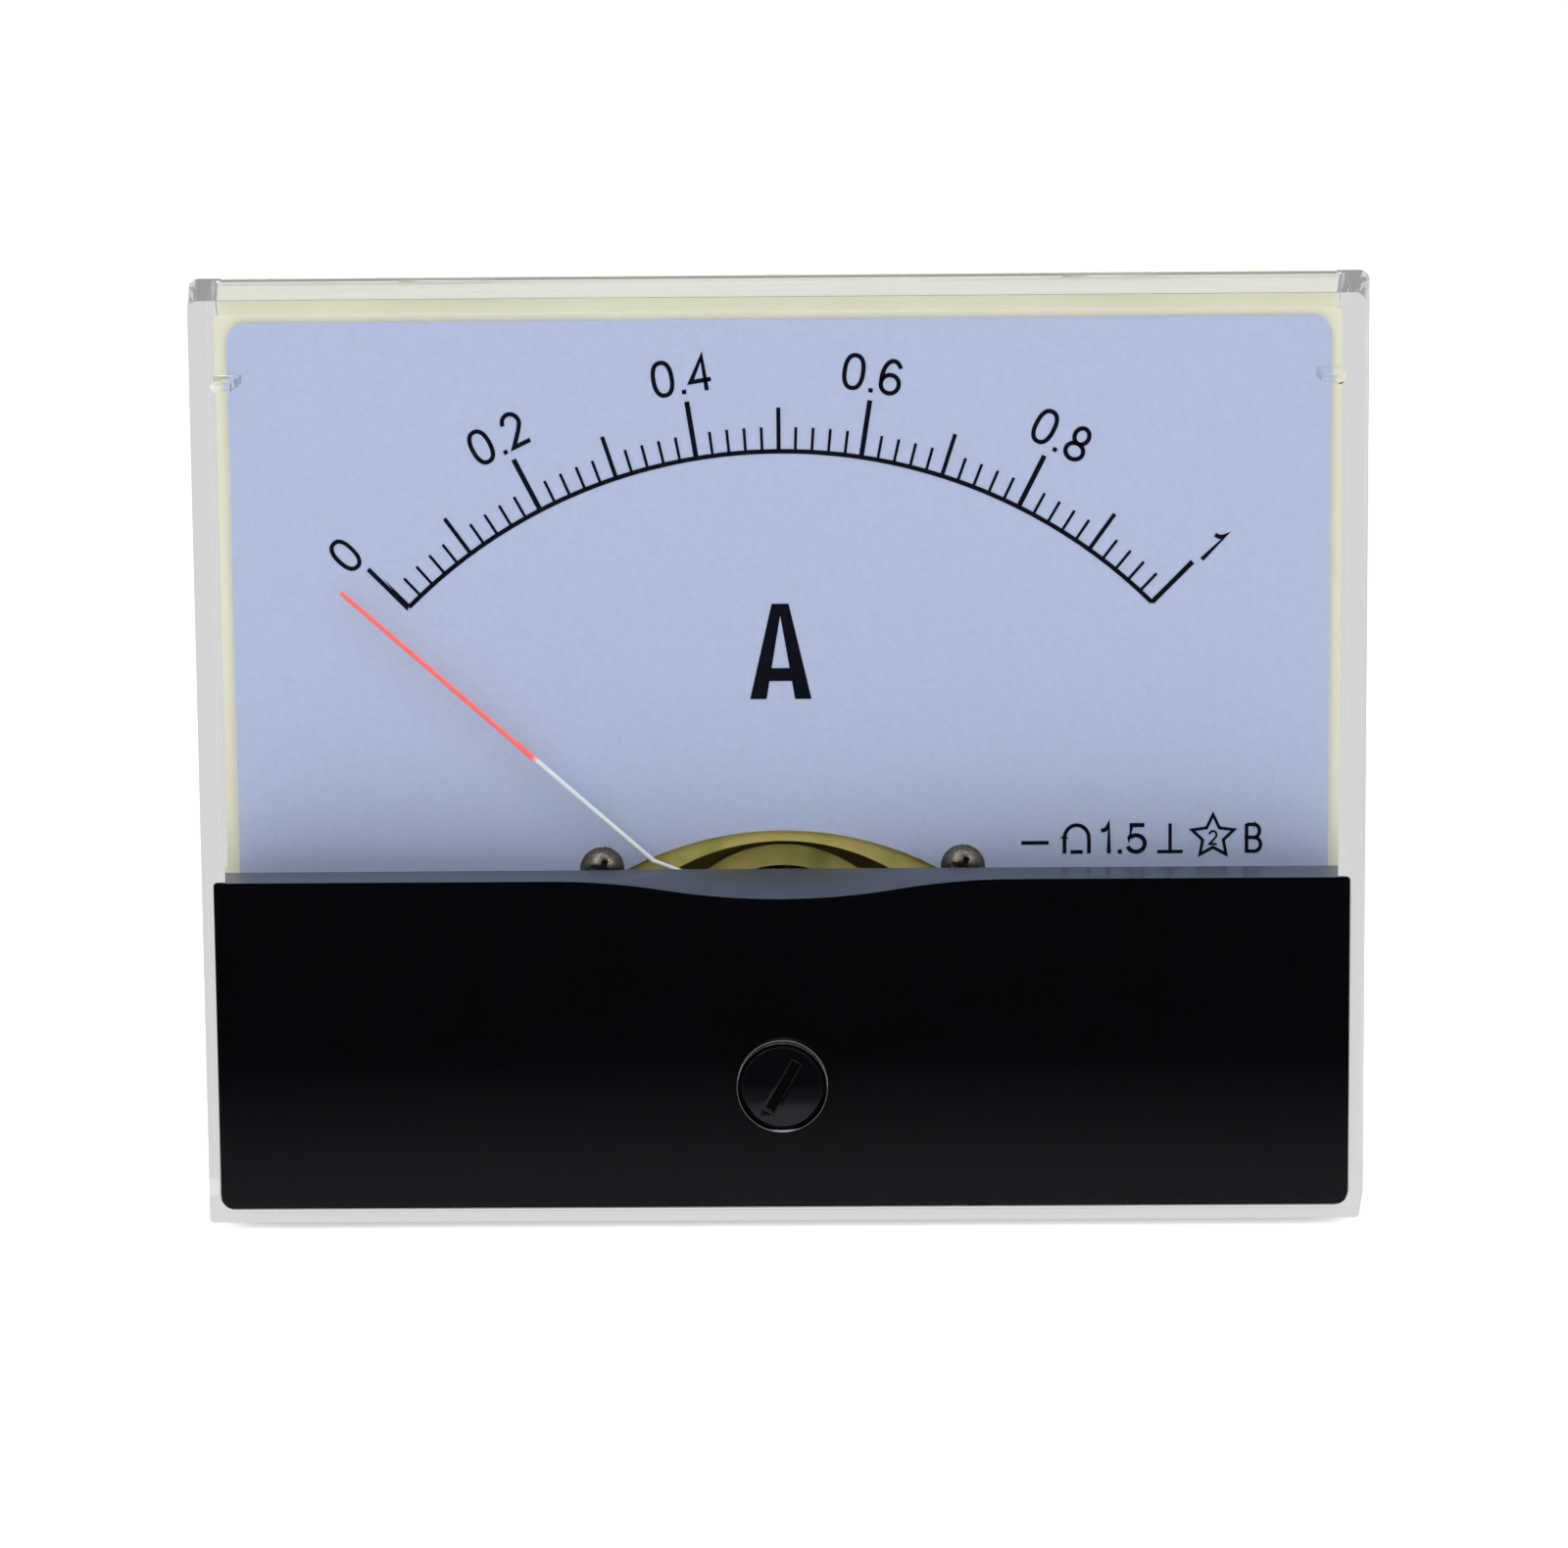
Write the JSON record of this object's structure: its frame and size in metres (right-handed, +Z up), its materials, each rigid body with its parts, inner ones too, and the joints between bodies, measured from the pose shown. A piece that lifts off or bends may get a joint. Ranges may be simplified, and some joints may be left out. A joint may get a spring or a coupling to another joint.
{
  "type": "analog panel meter",
  "caption": "Moving-coil DC panel ammeter with a clear rectangular cover, a quarter-circle scale, a slotted zero adjuster, and a round barrel with terminal studs behind the panel.",
  "frame": {"origin": "centre of the four mounting studs on the flange's back face, which seats on the panel", "axes": "+Z up, +X to the right as the dial is read, the dial faces -Y, +Y runs behind the panel along the studs"},
  "size_m": [0.1, 0.062, 0.08],
  "materials": {
    "clear_cover": "clear polystyrene, polished",
    "black_moulding": "satin",
    "black_screw": "satin",
    "dial_paint": "matt pale blue",
    "black_ink": "printed",
    "cream_moulding": "satin",
    "yellow_passivated": "yellow passivated",
    "bright_steel": "zinc plated",
    "dark_steel": "blackened",
    "magnet_alloy": "ground",
    "brass": "turned",
    "bridge_alloy": "die cast",
    "sheet_aluminium": "plain",
    "pointer_paint": "coral red outer end",
    "coil_wire": "enamelled copper wire",
    "ruby": "polished ruby",
    "spring_bronze": "bright",
    "manganin": "rolled",
    "red_insulation": "insulated copper wire"
  },
  "bodies": {
    "housing": {"front_cover": "clear_cover", "lower_mask": "black_moulding", "dial_plate": "dial_paint", "scale_marks": "black_ink", "dial_screws": "dark_steel", "base": "cream_moulding", "movement_frame": "yellow_passivated", "spacers": "bright_steel", "movement_screws": "bright_steel", "yoke_ring": "yellow_passivated", "core_magnet": "magnet_alloy", "core_keys": "brass", "front_bridge": "yellow_passivated", "rear_bridge": "bridge_alloy", "bridge_screws": "bright_steel", "front_jewel_screw": "brass", "rear_jewel_screw": "brass", "jewels": "ruby", "terminal_studs": "brass", "terminal_washers": "bright_steel", "terminal_spring_washers": "bright_steel", "terminal_nuts": "brass", "shunt": "manganin", "coil_leads": "red_insulation", "mounting_studs": "bright_steel", "mounting_washers": "bright_steel", "mounting_spring_washers": "bright_steel", "mounting_nuts": "bright_steel"},
    "moving_coil": {"coil_former": "sheet_aluminium", "coil_winding": "coil_wire", "front_pivot": "bright_steel", "rear_pivot": "bright_steel", "balance_cross": "sheet_aluminium", "balance_weights": "brass", "pointer": "pointer_paint", "front_hairspring": "spring_bronze", "rear_hairspring": "spring_bronze"},
    "zero_lever": {"zero_lever": "brass"},
    "zero_adjuster": {"zero_adjuster": "black_screw"}
  },
  "joints": [
    {"name": "pointer_swing", "type": "hinge", "parent": "housing", "child": "moving_coil", "pos_m": [0, 0.0121, -0.0192], "axis": [0, 1, 0], "range_deg": [-1.5, 97.5], "stiffness_Nm_per_rad": 0.000012, "deforming": ["front_hairspring", "rear_hairspring"]},
    {"name": "zero_adjuster_turn", "type": "hinge", "parent": "housing", "child": "zero_adjuster", "pos_m": [0, -0.0105, -0.0275], "axis": [0, 1, 0], "range_deg": [-30, 30]},
    {"name": "zero_lever_swing", "type": "hinge", "parent": "housing", "child": "zero_lever", "pos_m": [0, -0.00155, -0.0192], "axis": [0, 1, 0], "range_deg": [-4.2, 4.2]}
  ],
  "couplings": [
    {"joint": "zero_lever_swing", "follows": "zero_adjuster_turn", "ratio": -0.13699}
  ]
}
